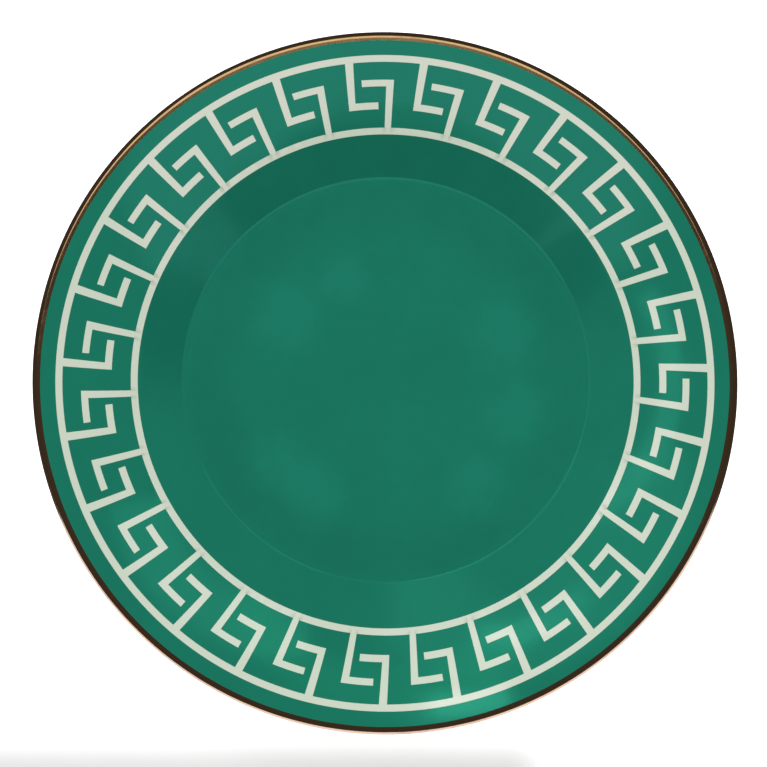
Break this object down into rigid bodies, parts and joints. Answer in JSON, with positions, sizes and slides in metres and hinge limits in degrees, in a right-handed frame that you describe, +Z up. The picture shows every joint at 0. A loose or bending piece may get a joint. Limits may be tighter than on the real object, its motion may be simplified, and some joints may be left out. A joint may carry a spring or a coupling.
{
  "type": "dinner plate",
  "caption": "Round rimmed china dinner plate with a green enamelled face, an ivory Greek key round the rim and a gilded lip.",
  "frame": {"origin": "centre of the foot ring, on the plane the foot stands on", "axes": "+Z up along the plate's axis, out of the face; +Y towards the top of the pattern; +X to the right seen from above"},
  "size_m": [0.265, 0.265, 0.0239],
  "materials": {
    "porcelain": "matte bare clay, white, fine grained",
    "clear_glaze": "clear glossy glaze over white clay",
    "green_enamel": "deep green glossy enamel",
    "ivory_enamel": "ivory glossy enamel",
    "burnished_gold": "burnished bright gold"
  },
  "bodies": {
    "root": {"porcelain_body": "porcelain", "glaze_coat": "clear_glaze", "foot_well_glaze": "clear_glaze", "green_well_enamel": "green_enamel", "green_key_enamel": "green_enamel", "green_border_enamel": "green_enamel", "ivory_inner_key": "ivory_enamel", "ivory_outer_key": "ivory_enamel", "gold_rim": "burnished_gold"}
  },
  "joints": []
}
